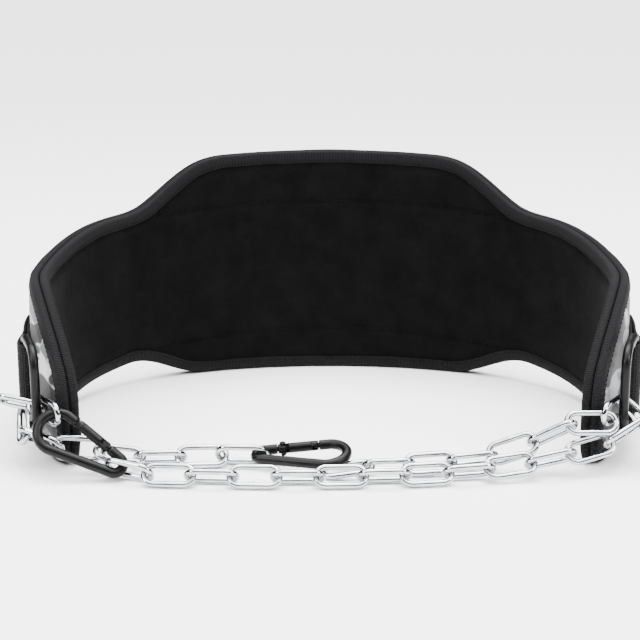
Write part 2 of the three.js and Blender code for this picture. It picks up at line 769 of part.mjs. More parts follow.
// Both hooks are alike
function addHook(name, row) {
  const hook = new THREE.Group();
  hook.name = name;
  addPiece(hook, `${name}_frame`, hookFrameGeometry(), blackPaint);
  addPiece(hook, `${name}_gate`, hookGateGeometry(), blackPaint);
  addPiece(hook, `${name}_rivet`, hookRivetGeometry(), blackPaint);
  const place = turnedPlace(row);
  setPose(hook, place.position, place.direction, place.roll);
  placed.add(hook);
}
addHook('hook_middle', middleHook);
addHook('hook_left', leftHook);

const box = new THREE.Box3().setFromObject(placed, true);
placed.position.set(-(box.min.x + box.max.x) / 2, -(box.min.y + box.max.y) / 2, -box.min.z);

export default belt;
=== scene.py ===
import math
import bpy
import numpy as np
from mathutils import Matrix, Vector


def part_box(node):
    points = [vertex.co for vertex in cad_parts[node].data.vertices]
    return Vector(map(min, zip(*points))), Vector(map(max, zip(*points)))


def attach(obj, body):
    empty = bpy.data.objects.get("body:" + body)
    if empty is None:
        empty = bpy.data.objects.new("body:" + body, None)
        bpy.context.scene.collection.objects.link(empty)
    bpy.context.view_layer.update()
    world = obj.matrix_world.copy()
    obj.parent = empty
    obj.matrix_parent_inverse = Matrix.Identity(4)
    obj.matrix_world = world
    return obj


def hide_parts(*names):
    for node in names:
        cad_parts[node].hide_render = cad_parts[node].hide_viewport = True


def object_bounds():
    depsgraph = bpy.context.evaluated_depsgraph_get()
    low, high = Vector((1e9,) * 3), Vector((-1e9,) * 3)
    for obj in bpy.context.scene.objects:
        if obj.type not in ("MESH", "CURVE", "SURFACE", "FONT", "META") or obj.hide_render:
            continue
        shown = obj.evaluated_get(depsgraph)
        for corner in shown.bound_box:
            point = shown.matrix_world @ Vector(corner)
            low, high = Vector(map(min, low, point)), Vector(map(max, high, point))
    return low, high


# A padded lifting belt with a camo shell, black lining, ribbed edge binding, a webbing strap
# that holds a D-ring at each end, and a steel chain with two snap hooks in front of it.
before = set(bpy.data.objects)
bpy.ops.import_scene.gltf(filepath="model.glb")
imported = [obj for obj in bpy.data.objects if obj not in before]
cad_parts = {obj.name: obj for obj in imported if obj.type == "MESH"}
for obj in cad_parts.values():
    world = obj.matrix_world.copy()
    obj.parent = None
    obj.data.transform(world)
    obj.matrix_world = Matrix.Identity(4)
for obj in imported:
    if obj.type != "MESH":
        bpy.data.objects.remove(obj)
cad_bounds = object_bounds()

# ---------------------------------------------------------------- outer shell
# The outside of the belt is one long padded panel, humped at the back and arched over the
# hips: printed polyester cloth over foam. The tape sewn round its edge holds it flat.
# Seen from above, the wall turns by an odd polynomial of the distance along it. The edges are
# a table of shares of half the length and of the height at the back.
HALF = 398.0
BACK = 182.0
share = np.linspace(0, 1, 1601)
heading = np.radians(68.7 * share + 162.8 * share ** 3 - 112.1 * share ** 5)
step = HALF / 1600
plan_x = np.concatenate([[0], np.cumsum(step * (np.cos(heading[1:]) + np.cos(heading[:-1])) / 2)])
plan_y = -np.concatenate([[0], np.cumsum(step * (np.sin(heading[1:]) + np.sin(heading[:-1])) / 2)])
EDGE = np.array([
    # along, upper, lower
    (0, 1, 0), (0.146, 0.992, 0), (0.234, 0.983, 0), (0.271, 0.964, 0), (0.302, 0.929, 0.008),
    (0.337, 0.875, 0.036), (0.372, 0.816, 0.069), (0.402, 0.775, 0.091), (0.432, 0.759, 0.099),
    (0.477, 0.751, 0.085), (0.528, 0.735, 0.071), (0.583, 0.707, 0.052), (0.643, 0.673, 0.027),
    (0.711, 0.648, 0.008), (0.779, 0.643, 0), (0.842, 0.632, 0), (0.879, 0.593, 0),
    (0.917, 0.533, 0), (0.95, 0.467, 0), (0.97, 0.412, 0.002), (0.99, 0.341, 0.019),
    (1, 0.275, 0.077)])


def wall(along, out, height):
    """Points of the wall: distance along it, distance out of it, height."""
    along, out, height = np.broadcast_arrays(*(np.asarray(v, float) for v in (along, out, height)))
    where = np.abs(along) / HALF
    turn = np.interp(where, share, heading)
    over = np.maximum(0, np.abs(along) - HALF)
    x = np.interp(where, share, plan_x) + out * np.sin(turn) + over * np.cos(turn)
    y = np.interp(where, share, plan_y) + out * np.cos(turn) - over * np.sin(turn)
    return np.stack([np.where(along < 0, -x, x), y, height], -1)


def edge(column, along):
    """Height of the upper or lower edge, eased at the table's rows by a short average."""
    spread = np.linspace(-5, 5, 11)
    where = np.clip(np.abs(np.asarray(along, float)[..., None] + spread) / HALF, 0, 1)
    where = np.where(where > 0.985, np.abs(np.asarray(along, float)[..., None]) / HALF, where)
    return (np.interp(where, EDGE[:, 0], EDGE[:, column]) * BACK).mean(-1)


# The outline runs along the lower edge, up the right end, back along the upper edge and down
# the left end, with its points closest at the ends, and ten short averages round its corners.
CLOSE = 24
fine_along = np.concatenate([np.linspace(-HALF, -HALF + CLOSE, 25)[:-1],
                             np.linspace(-HALF + CLOSE, HALF - CLOSE, 361),
                             np.linspace(HALF - CLOSE, HALF, 25)[1:]])
lower_run = np.stack([fine_along, edge(2, fine_along)], -1)
upper_run = np.stack([fine_along[::-1], edge(1, fine_along[::-1])], -1)
end_share = np.linspace(0, 1, 14)[1:-1, None]
right_end = lower_run[-1] + (upper_run[0] - lower_run[-1]) * end_share
left_end = upper_run[-1] + (lower_run[0] - upper_run[-1]) * end_share
outline = np.concatenate([lower_run, right_end, upper_run, left_end])
for smoothing in range(10):
    outline = outline * 0.6 + 0.2 * (np.roll(outline, 1, 0) + np.roll(outline, -1, 0))
tangent = np.roll(outline, -1, 0) - np.roll(outline, 1, 0)
tangent /= np.linalg.norm(tangent, axis=1)[:, None]
inward = np.stack([-tangent[:, 1], tangent[:, 0]], -1)
run_length = np.concatenate([[0], np.cumsum(np.linalg.norm(np.diff(outline, axis=0), axis=1))])


# Lengths are worked out in millimetres in the belt's own frame, with the middle of the back at
# the origin and the back towards +y, and moved to the shared frame when a mesh is made.
TAPE_OUT = 0.0072  # metres from the wall's middle to the outer tape's face
outer_low, outer_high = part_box("outer_binding")
FRAME_X = (outer_low.x + outer_high.x) / 2
FRAME_Y = outer_high.y - TAPE_OUT


def to_frame(points):
    """Millimetres in the belt's frame to metres in the shared frame."""
    out = np.asarray(points, float).reshape(-1, 3) / 1000
    out[:, 0] += FRAME_X
    out[:, 1] += FRAME_Y
    return out


def make_object(name, points, faces, uvs=None, smooth=True):
    """Object with its place in its mesh; uvs holds one (u, v) pair for each point, in mm."""
    mesh = bpy.data.meshes.new(name)
    mesh.from_pydata(to_frame(points).tolist(), [], [list(f) for f in faces])
    mesh.validate()
    if uvs is not None:
        layer = mesh.uv_layers.new(name="length_uv")
        corner = np.zeros(len(mesh.loops), np.int32)
        mesh.loops.foreach_get("vertex_index", corner)
        layer.data.foreach_set("uv", np.asarray(uvs, np.float32)[corner].ravel())
    mesh.polygons.foreach_set("use_smooth", [smooth] * len(mesh.polygons))
    mesh.update()
    piece = bpy.data.objects.new(name, mesh)
    bpy.context.collection.objects.link(piece)
    return piece


def grid_faces(rows, columns, close_rows=False, close_columns=False, turned=False):
    """Four-sided faces over a grid of points stored row by row."""
    faces = []
    for row in range(rows if close_rows else rows - 1):
        for column in range(columns if close_columns else columns - 1):
            a = row * columns + column
            b = row * columns + (column + 1) % columns
            c = ((row + 1) % rows) * columns + (column + 1) % columns
            d = ((row + 1) % rows) * columns + column
            faces.append((a, d, c, b) if turned else (a, b, c, d))
    return faces


def finish_piece(piece, material, slot, *nodes):
    """Gives a piece its material and its body, and hides the nodes it stands for. The slot is not
    used.
    """
    piece.data.materials.clear()
    piece.data.materials.append(material)
    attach(piece, "middle_gate" if "middle_gate" in piece.name else
            "left_gate" if "left_gate" in piece.name else "belt")
    if nodes:
        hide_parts(*nodes)
    return piece


def colour(code):
    """Linear colour from an sRGB hex code."""
    parts = [int(code[k:k + 2], 16) / 255 for k in (1, 3, 5)]
    return [p / 12.92 if p <= 0.04045 else ((p + 0.055) / 1.055) ** 2.4 for p in parts] + [1.0]


def new_material(name):
    """Empty material and its shader node."""
    material = bpy.data.materials.new(name)
    material.use_nodes = True
    return material, material.node_tree.nodes["Principled BSDF"]


def add(material, kind, links=None, **settings):
    """Adds a node; settings name its properties or sockets, links name sockets and sources."""
    tree = material.node_tree
    node = tree.nodes.new(kind)
    for key, value in settings.items():
        if hasattr(node, key):
            setattr(node, key, value)
        else:
            node.inputs[key.replace("_", " ")].default_value = value
    for key, source in (links or {}).items():
        tree.links.new(source, node.inputs[key])
    return node


def ramp(material, source, stops, mode="LINEAR"):
    """Colour ramp through (position, linear colour) stops."""
    node = add(material, "ShaderNodeValToRGB", {"Fac": source})
    node.color_ramp.interpolation = mode
    elements = node.color_ramp.elements
    while len(elements) < len(stops):
        elements.new(0.5)
    for element, (position, value) in zip(elements, stops):
        element.position = position
        element.color = value
    return node.outputs["Color"]


def wire_up(material, shader, **sources):
    """Links sources to the shader's sockets."""
    for key, source in sources.items():
        material.node_tree.links.new(source, shader.inputs[key.replace("_", " ")])


def bump(material, height, strength, distance, before=None):
    """Bump from a height, added to an earlier one."""
    links = {"Height": height}
    if before is not None:
        links["Normal"] = before
    node = add(material, "ShaderNodeBump", links, Strength=strength, Distance=distance)
    return node.outputs["Normal"]


def stripes(material, source, period_mm, sharp=1.0):
    """Height that rises and falls once every period along a coordinate in millimetres."""
    turn = add(material, "ShaderNodeMath", {0: source}, operation="MULTIPLY")
    turn.inputs[1].default_value = 2 * math.pi / period_mm
    wave = add(material, "ShaderNodeMath", {0: turn.outputs[0]}, operation="SINE")
    half = add(material, "ShaderNodeMath", {0: wave.outputs[0]}, operation="MULTIPLY_ADD")
    half.inputs[1].default_value = 0.5 * sharp
    half.inputs[2].default_value = 0.5
    half.use_clamp = True
    return half.outputs[0]


def lengths(material):
    """The two coordinates of the piece's own map, in millimetres."""
    source = add(material, "ShaderNodeUVMap", uv_map="length_uv")
    split = add(material, "ShaderNodeSeparateXYZ", {"Vector": source.outputs["UV"]})
    return source.outputs["UV"], split.outputs["X"], split.outputs["Y"]


camo, shader = new_material("printed camo cloth")
# Camo print on plain-woven polyester: four noise fields cut at fixed levels lay patches of
# 30 to 50 mm over a grey ground. The weave is really 0.4 mm and is drawn at 0.9 mm to show.
map_out, u_out, v_out = lengths(camo)
ground = add(camo, "ShaderNodeRGB")
ground.outputs[0].default_value = colour("#8e9092")
layer = ground.outputs[0]
for code, scale, cut, place in (("#606264", 0.021, 0.50, 3.1), ("#c8c8c5", 0.026, 0.57, 7.7),
                                ("#2a2b2d", 0.024, 0.53, 12.4), ("#0b0b0c", 0.03, 0.55, 21.3)):
    moved = add(camo, "ShaderNodeVectorMath", {0: map_out}, operation="MULTIPLY_ADD")
    moved.inputs[1].default_value = (scale, scale * 1.35, 0)
    moved.inputs[2].default_value = (place, place * 0.7, place)
    noise = add(camo, "ShaderNodeTexNoise", {"Vector": moved.outputs[0]},
                Scale=1.0, Detail=1.6, Roughness=0.45, Distortion=0.7)
    mask = ramp(camo, noise.outputs["Fac"], [(cut, (0, 0, 0, 1)), (cut + 0.012, (1, 1, 1, 1))])
    mix = add(camo, "ShaderNodeMix", {0: mask}, data_type="RGBA")
    camo.node_tree.links.new(layer, mix.inputs[6])
    mix.inputs[7].default_value = colour(code)
    layer = mix.outputs[2]
warp = stripes(camo, u_out, 0.9)
weft = stripes(camo, v_out, 0.9)
weave = add(camo, "ShaderNodeMath", {0: warp, 1: weft}, operation="MULTIPLY")
wear = add(camo, "ShaderNodeTexNoise", {"Vector": map_out}, Scale=0.09, Detail=4.0)
worn = ramp(camo, wear.outputs["Fac"], [(0.3, (0.9, 0.9, 0.9, 1)), (0.7, (1, 1, 1, 1))])
tint = add(camo, "ShaderNodeMix", {6: layer, 7: worn}, data_type="RGBA", blend_type="MULTIPLY")
tint.inputs[0].default_value = 1.0
shader.inputs["Roughness"].default_value = 0.85
shader.inputs["Sheen Weight"].default_value = 0.15
rise = bump(camo, weave.outputs[0], 0.35, 0.0003)
rise = bump(camo, wear.outputs["Fac"], 0.25, 0.002, rise)
wire_up(camo, shader, Base_Color=tint.outputs[2], Normal=rise)


END_INSET, EDGE_INSET = 5, 4.5
FACE_OUT, SWELL = 6.2, 1.7
SWELL_START, SWELL_WIDTH = 8.8, 8


def panel_points(sign, along_count, row_count, relief):
    """Face of one layer: the height runs between the two edges, both pulled in under the tape.
    The face lies flat there and swells from the tape's free edge on, by how far a point is
    from the outline. Relief adds to that."""
    along = np.linspace(-HALF + END_INSET, HALF - END_INSET, along_count)
    low = edge(2, along)
    high = edge(1, along)
    low = low + EDGE_INSET / np.cos(np.arctan(np.gradient(low, along)))
    high = high - EDGE_INSET / np.cos(np.arctan(np.gradient(high, along)))
    part = (1 - np.cos(np.linspace(0, math.pi, row_count))) / 2
    part = 0.5 * part + 0.5 * np.linspace(0, 1, row_count)
    height = low[None, :] + (high - low)[None, :] * part[:, None]
    spread = np.broadcast_to(along, height.shape)
    near_edge = np.stack([np.hypot(outline[:, 0] - a, outline[:, 1] - b[:, None]).min(1)
                          for a, b in zip(along, height.T)], 1)
    swell = np.clip((near_edge - SWELL_START) / SWELL_WIDTH, 0, 1)
    swell = swell * swell * (3 - 2 * swell)
    out = FACE_OUT + SWELL * swell + relief(spread, height) * swell
    points = wall(spread, sign * out, height)
    uvs = np.stack([spread, height], -1).reshape(-1, 2)
    return points.reshape(-1, 3), uvs, along_count, row_count


def soft_waves(along, height):
    """Slow hollows of soft cloth: a few long waves of half a millimetre."""
    return 0.35 * np.sin(along / 37 + 1.3) * np.cos(height / 41 + along / 90) \
        + 0.15 * np.sin(along / 13.7 + height / 19)


points, uvs, many, rows = panel_points(1, 500, 70, soft_waves)
shell = make_object("camo_shell", points, grid_faces(rows, many, turned=True), uvs)
finish_piece(shell, camo, "camo_cloth", "outer_shell")

# ---------------------------------------------------------------- lining pad
# The inside of the belt is a foam pad of the same outline in brushed black cloth. Two lines
# sewn along the hump press creases into it.
lining, shader = new_material("brushed black lining")
# Brushed knitted polyester: near-black and matt, mottled by how the nap lies, with a fibre
# grain of 0.6 mm and a trace of sheen.
map_in = lengths(lining)[0]
mottle = add(lining, "ShaderNodeTexNoise", {"Vector": map_in}, Scale=0.045, Detail=5.0,
             Roughness=0.6)
fibre = add(lining, "ShaderNodeTexNoise", {"Vector": map_in}, Scale=1.6, Detail=3.0)
tone = ramp(lining, mottle.outputs["Fac"], [(0.3, colour("#020202")), (0.7, colour("#080809"))])
shader.inputs["Roughness"].default_value = 0.95
shader.inputs["Specular IOR Level"].default_value = 0.07
shader.inputs["Sheen Weight"].default_value = 0.01
rise = bump(lining, fibre.outputs["Fac"], 0.5, 0.0005)
rise = bump(lining, mottle.outputs["Fac"], 0.45, 0.003, rise)
wire_up(lining, shader, Base_Color=tone, Normal=rise)


UPPER_CREASE, LOWER_CREASE = 141, 34
CREASE_FALL, CREASE_REACH, CREASE_END = 9, 165, 172
CREASE_DEPTH, CREASE_WIDTH = 1.3, 1.9


def seam_height(upper, along):
    """Height of the hump's sewn creases: it falls with the square of the distance along."""
    return (UPPER_CREASE if upper else LOWER_CREASE) \
        - CREASE_FALL * (np.abs(along) / CREASE_REACH) ** 2


def creases(along, height):
    """Relief of the lining: a bell-shaped groove along each crease, and slow waves."""
    inside = np.clip((CREASE_END - np.abs(along)) / 8, 0, 1)
    groove = sum(np.exp(-((height - seam_height(up, along)) / CREASE_WIDTH) ** 2)
                 for up in (True, False))
    return soft_waves(along, height) - CREASE_DEPTH * groove * inside


points, uvs, many, rows = panel_points(-1, 700, 110, creases)
pad = make_object("lining_pad", points, grid_faces(rows, many), uvs)
finish_piece(pad, lining, "lining_cloth", "inner_pad")

# ---------------------------------------------------------------- ribbed bindings
# Polyester tape with ribs across it is folded over the edge of each layer and sewn down all
# the way round, so a dark groove runs between the two tapes.
tape, shader = new_material("ribbed binding tape")
# Grosgrain tape: ribs across its length, 1.25 mm apart, with painted shade between them, dull on
# top.
map_tape, u_tape = lengths(tape)[:2]
ribs = stripes(tape, u_tape, 1.25)
lint = add(tape, "ShaderNodeTexNoise", {"Vector": map_tape}, Scale=0.5, Detail=3.0)
# Painted shade: the colour follows the ribs, darkest in the grooves between them and lightest on
# their tops.
painted_rib_shade = ramp(tape, ribs, [(0.0, colour("#010101")), (1.0, colour("#1a1a1c"))])
shader.inputs["Roughness"].default_value = 0.8
shader.inputs["Specular IOR Level"].default_value = 0.1
shader.inputs["Sheen Weight"].default_value = 0.01
rise = bump(tape, ribs, 0.8, 0.0006)
rise = bump(tape, lint.outputs["Fac"], 0.25, 0.001, rise)
wire_up(tape, shader, Base_Color=painted_rib_shade, Normal=rise)

LAP, LAP_HALF, LAP_HEIGHT = 0.8, 6.5, 22


def binding(name, sign, node):
    """Tape section as (out, inset) pairs, flat on both faces and round over the edge, carried
    along the outline. Two sines make its free edges uneven, and the inner tape is thicker for
    13 mm where its ends lap near the foot of the left end."""
    round_over = [(3.45 + 3.25 * math.sin(t) * 0.98, 2.2 - 2.2 * math.cos(t))
                  for t in np.linspace(-math.pi / 2, math.pi / 2, 11)]
    section = [(0.35, 9.0), (0.25, 6.0)] + round_over + [
        (7.15, 4.0), (7.3, 6.0), (7.2, 8.4), (6.7, 9.3), (6.0, 9.2), (6.0, 3.0), (1.2, 3.0),
        (1.0, 9.0)]
    section = np.array(section)
    wobble = 0.18 * np.sin(run_length / 17) + 0.12 * np.sin(run_length / 5.3 + 2)
    points = []
    uvs = []
    across = np.concatenate([[0], np.cumsum(np.linalg.norm(np.diff(section, axis=0), axis=1))])
    joint = run_length[np.argmin(np.hypot(outline[:, 0] + HALF, outline[:, 1] - LAP_HEIGHT))]
    lap = LAP * (sign < 0) * np.clip((LAP_HALF - np.abs(run_length - joint)) / 2, 0, 1)
    for index, (spot, normal) in enumerate(zip(outline, inward)):
        inset = section[:, 1] + wobble[index] * (section[:, 1] > 5)
        inset = inset - lap[index] * (section[:, 1] < 2.5)
        flat = spot + normal * inset[:, None]
        out = section[:, 0] + lap[index] * (section[:, 0] > 6.5)
        points.append(wall(flat[:, 0], sign * out, flat[:, 1]))
        uvs.append(np.stack([np.full(len(section), run_length[index]), across], -1))
    faces = grid_faces(len(outline), len(section), True, True, turned=sign > 0)
    piece = make_object(name, np.concatenate(points), faces, np.concatenate(uvs))
    return finish_piece(piece, tape, "binding_tape", node)


binding("outer_binding_tape", 1, "outer_binding")
binding("inner_binding_tape", -1, "inner_binding")

# ---------------------------------------------------------------- webbing strap
# Woven polyester webbing runs round the outside, goes round the straight bar of each ring and
# is sewn down on itself. It is one rounded section carried along one fine path.
web, shader = new_material("black webbing")
# Woven polyester: cords of 2.1 mm along the strap, crossed by picks 1.5 mm apart, dull black.
map_web, u_web, v_web = lengths(web)
cords = stripes(web, v_web, 2.1)
picks = stripes(web, u_web, 1.5)
both = add(web, "ShaderNodeMath", {0: cords, 1: picks}, operation="MULTIPLY")
fluff = add(web, "ShaderNodeTexNoise", {"Vector": map_web}, Scale=0.4, Detail=4.0)
# Painted shade: the colour follows the weave, darkest in the hollows between cords and picks and
# lightest where both rise.
tone = ramp(web, both.outputs[0], [(0.0, colour("#020202")), (1.0, colour("#151516"))])
shader.inputs["Roughness"].default_value = 0.75
shader.inputs["Specular IOR Level"].default_value = 0.2
rise = bump(web, both.outputs[0], 0.8, 0.0007)
rise = bump(web, fluff.outputs["Fac"], 0.3, 0.001, rise)
wire_up(web, shader, Base_Color=tone, Normal=rise)

# Shares: where along the half the strap's middle has which part of the back's height.
STRAP_ALONG = (0, 0.41, 0.578, 0.711, 0.862, 1)
STRAP_MIDDLE = (0.478, 0.44, 0.374, 0.313, 0.28, 0.28)
BAR_ALONG, BAR_OUT = 343, 14.0
STRAP_OUT, FOLD_OUT, TURN = 9.25, 11.85, 4.75
half_run = [(a, STRAP_OUT) for a in np.linspace(0, 340, 140)]
half_run += [(BAR_ALONG + TURN * math.cos(t), BAR_OUT + TURN * math.sin(t))
             for t in np.linspace(-math.pi / 2, math.pi / 2, 18)]
half_run += [(339, 18.2), (335, 17.2), (331, 15.8), (327, 14.2), (323, 12.9), (319, 12.2)]
half_run += [(a, FOLD_OUT) for a in np.linspace(315, 288, 12)]
whole_run = np.array([(-a, b) for a, b in half_run[:0:-1]] + half_run)
spots = wall(whole_run[:, 0], whole_run[:, 1], 0)[:, :2]
way = np.gradient(spots, axis=0)
way /= np.linalg.norm(way, axis=1)[:, None]
band_normal = np.stack([-way[:, 1], way[:, 0]], -1)
band_middle = np.interp(np.abs(whole_run[:, 0]) / HALF, STRAP_ALONG, STRAP_MIDDLE) * BACK
band_length = np.concatenate([[0], np.cumsum(np.linalg.norm(np.diff(spots, axis=0), axis=1))])
# Section as (out, height) pairs, 2.2 mm by 50 mm with rounded edges.
section = np.array([(-1.05, -24.3), (-0.6, -25), (0.6, -25), (1.05, -24.3), (1.1, -12), (1.1, 0),
                    (1.1, 12), (1.05, 24.3), (0.6, 25), (-0.6, 25), (-1.05, 24.3), (-1.1, 12),
                    (-1.1, 0), (-1.1, -12)])
points = np.concatenate([
    spots[:, None] + band_normal[:, None] * section[None, :, :1],
    band_middle[:, None, None] + np.broadcast_to(section[None, :, 1:], (len(spots), 14, 1))],
    axis=-1)
uvs = np.stack([np.broadcast_to(band_length[:, None], (len(spots), 14)),
                np.broadcast_to(section[:, 1], (len(spots), 14))], -1).reshape(-1, 2)
faces = grid_faces(len(spots), 14, False, True, turned=True)
faces += [tuple(range(14)), tuple(range((len(spots) - 1) * 14, len(spots) * 14))[::-1]]
strap = make_object("webbing_band", points.reshape(-1, 3), faces, uvs)
finish_piece(strap, web, "webbing", "webbing_strap")

# ---------------------------------------------------------------- D-rings
# A ring bent from round steel bar and coated black is caught in each of the strap's folds: a
# straight bar in the fold, rounded corners and a straight front.
black, shader = new_material("satin black coat")
# Powder coat on steel: satin black with a faint peel of 2 mm and smears that dull it.
place_b = add(black, "ShaderNodeTexCoord").outputs["Object"]
peel = add(black, "ShaderNodeTexNoise", {"Vector": place_b}, Scale=420.0, Detail=2.0)
smear = add(black, "ShaderNodeTexNoise", {"Vector": place_b}, Scale=60.0, Detail=4.0)
rough = ramp(black, smear.outputs["Fac"],
             [(0.3, (0.28, 0.28, 0.28, 1)), (0.75, (0.46, 0.46, 0.46, 1))])
shader.inputs["Base Color"].default_value = colour("#030303")
shader.inputs["Specular IOR Level"].default_value = 0.16
rise = bump(black, peel.outputs["Fac"], 0.15, 0.0003)
wire_up(black, shader, Roughness=rough, Normal=rise)


def swept(path, radius, sides, closed, normal):
    """Circles of the given radius square to the path, one at each of its points."""
    path = np.asarray(path, float)
    radius = np.broadcast_to(np.asarray(radius, float), (len(path),))
    ahead = np.roll(path, -1, 0) - np.roll(path, 1, 0)
    if not closed:
        ahead[0] = path[1] - path[0]
        ahead[-1] = path[-1] - path[-2]
    ahead /= np.linalg.norm(ahead, axis=1)[:, None]
    across = np.cross(normal, ahead)
    across /= np.linalg.norm(across, axis=1)[:, None]
    angle = 2 * np.pi * np.arange(sides) / sides
    ring = across[:, None] * np.cos(angle)[:, None] + np.asarray(normal) * np.sin(angle)[:, None]
    points = path[:, None] + ring * radius[:, None, None]
    faces = grid_faces(len(path), sides, closed, True)
    if not closed:
        faces += [tuple(range(sides))[::-1],
                  tuple(range((len(path) - 1) * sides, len(path) * sides))]
    return points.reshape(-1, 3), faces


RING_WIRE, RING_MIDDLE = 3.2, 51.0
FRONT_ALONG, FRONT_OUT = 383, 19.0
HALF_RING, BACK_BEND, FRONT_BEND = 29.5, 5, 13
for sign, name in ((-1, "left"), (1, "right")):
    bar = wall(sign * BAR_ALONG, BAR_OUT, RING_MIDDLE)
    front = wall(sign * FRONT_ALONG, FRONT_OUT, RING_MIDDLE)
    forward = front - bar
    depth = np.linalg.norm(forward)
    forward /= depth
    # Each bend: how far ahead of the bar and how high its centre is, radius, first angle.
    low_bend, high_bend = HALF_RING - BACK_BEND, HALF_RING - FRONT_BEND
    corners = [(BACK_BEND, -low_bend, BACK_BEND, math.pi),
               (depth - FRONT_BEND, -high_bend, FRONT_BEND, 1.5 * math.pi),
               (depth - FRONT_BEND, high_bend, FRONT_BEND, 2 * math.pi),
               (BACK_BEND, low_bend, BACK_BEND, 2.5 * math.pi)]
    path = []
    for ahead, height, radius, start in corners:
        for turn in np.linspace(start, start + math.pi / 2, 10):
            path.append((ahead + radius * math.cos(turn), height + radius * math.sin(turn)))
    path = np.array(path)
    full = []
    for a, b in zip(path, np.roll(path, -1, 0)):
        pieces = max(1, int(np.linalg.norm(b - a) / 3))
        full += [a + (b - a) * k / pieces for k in range(pieces)]
    full = np.array(full)
    spots = bar + forward * full[:, :1] + np.array([0, 0, 1.0]) * full[:, 1:]
    points, faces = swept(spots, RING_WIRE, 20, True, np.cross(forward, [0, 0, 1.0]))
    ring_piece = make_object(f"d_ring_{name}_bar", points, faces)
    finish_piece(ring_piece, black, "black_steel", f"d_ring_{name}")

# ---------------------------------------------------------------- chain links
# Each link is a bent and welded steel wire with a bright zinc plating, threaded through its
# neighbours. Where it lies is read from its CAD node.
zinc, shader = new_material("bright zinc plated steel")
# Electroplated zinc: mirrors its surroundings sharply, a little cloudier in patches of 10 mm,
# with faint marks from handling.
place_z = add(zinc, "ShaderNodeTexCoord").outputs["Object"]
cloud = add(zinc, "ShaderNodeTexNoise", {"Vector": place_z}, Scale=90.0, Detail=4.0)
marks = add(zinc, "ShaderNodeTexNoise", {"Vector": place_z}, Scale=700.0, Detail=2.0)
rough = ramp(zinc, cloud.outputs["Fac"],
             [(0.3, (0.06, 0.06, 0.06, 1)), (0.75, (0.15, 0.15, 0.15, 1))])
tone = ramp(zinc, cloud.outputs["Fac"], [(0.3, colour("#c4c6c8")), (0.8, colour("#9a9da1"))])
shader.inputs["Metallic"].default_value = 1.0
rise = bump(zinc, cloud.outputs["Fac"], 0.2, 0.0006)
rise = bump(zinc, marks.outputs["Fac"], 0.12, 0.0002, rise)
wire_up(zinc, shader, Base_Color=tone, Roughness=rough, Normal=rise)


def node_pose(node):
    """Centre and three square directions of a node, longest first, in the belt's frame, mm."""
    spots = np.array([v.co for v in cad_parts[node].data.vertices], float) * 1000
    spots -= np.array([FRAME_X, FRAME_Y, 0]) * 1000
    spots = np.unique(np.round(spots, 3), axis=0)
    low, high = spots.min(0), spots.max(0)
    centre = spots.mean(0)
    vectors = np.linalg.eigh(np.cov((spots - centre).T))[1]
    long, wide = vectors[:, 2], vectors[:, 1]
    return centre, long, wide, np.cross(long, wide)


LINK_LENGTH, LINK_WIDTH, LINK_WIRE = 37.4, 17.8, 2.05
WELD, WELD_RIM = 0.2, 0.07


def link_path():
    """Two straight sides and two half-round bows, with the wire's radius, which swells by a
    bell curve at the weld in the middle of one side and by a small rim on each side of it."""
    bow = LINK_WIDTH / 2 - LINK_WIRE
    straight = LINK_LENGTH / 2 - LINK_WIRE - bow
    path = []
    for end in (1, -1):
        for turn in np.linspace(math.pi / 2, -math.pi / 2, 15):
            path.append((end * (straight + bow * math.cos(turn)), end * bow * math.sin(turn), 0))
        for x in np.linspace(straight, -straight, 22)[1:-1]:
            path.append((end * x, -end * bow, 0))
    path = np.array(path)
    radius = np.full(len(path), LINK_WIRE)
    side = path[:, 1] < -bow + 0.01
    radius += side * WELD * np.exp(-(path[:, 0] / 1.3) ** 2)
    radius += side * WELD_RIM * np.exp(-((np.abs(path[:, 0]) - 2.6) / 0.7) ** 2)
    return path, radius


flat_path, wire_radius = link_path()
for number in range(1, 32):
    node = f"chain_link_{number:02d}"
    centre, long, wide, thick = node_pose(node)
    spots = centre + flat_path[:, :1] * long + flat_path[:, 1:2] * wide
    points, faces = swept(spots, wire_radius, 14, True, thick)
    link = make_object(f"{node}_wire", points, faces)
    finish_piece(link, zinc, "zinc_steel", node)

# ---------------------------------------------------------------- snap hooks
# Each hook is a pear-shaped steel bar, open on one side, with a gate of slotted rod on a
# rivet. All of it is coated black. Where it lies is worked out from its CAD nodes.
# In the hook's own plane, x runs from the narrow tip to the wide end. The bar's middle line
# has these radii at the wide and the narrow end, and the wide end's centre is at WIDE_X.
WIDE_R, NARROW_R = 13.5, 6.0
WIDE_X = 49.5
PIVOT_X = 17.5
HOOK_BAR = 3.5
TONGUE_HEIGHT, TONGUE_THICKNESS = 5, 2.4
SLOT = 1.5
gate_way = np.array([WIDE_X - NARROW_R, WIDE_R - NARROW_R, 0])
gate_way /= np.linalg.norm(gate_way)
pivot = np.array([NARROW_R, NARROW_R, 0]) + gate_way * (PIVOT_X - NARROW_R) / gate_way[0]


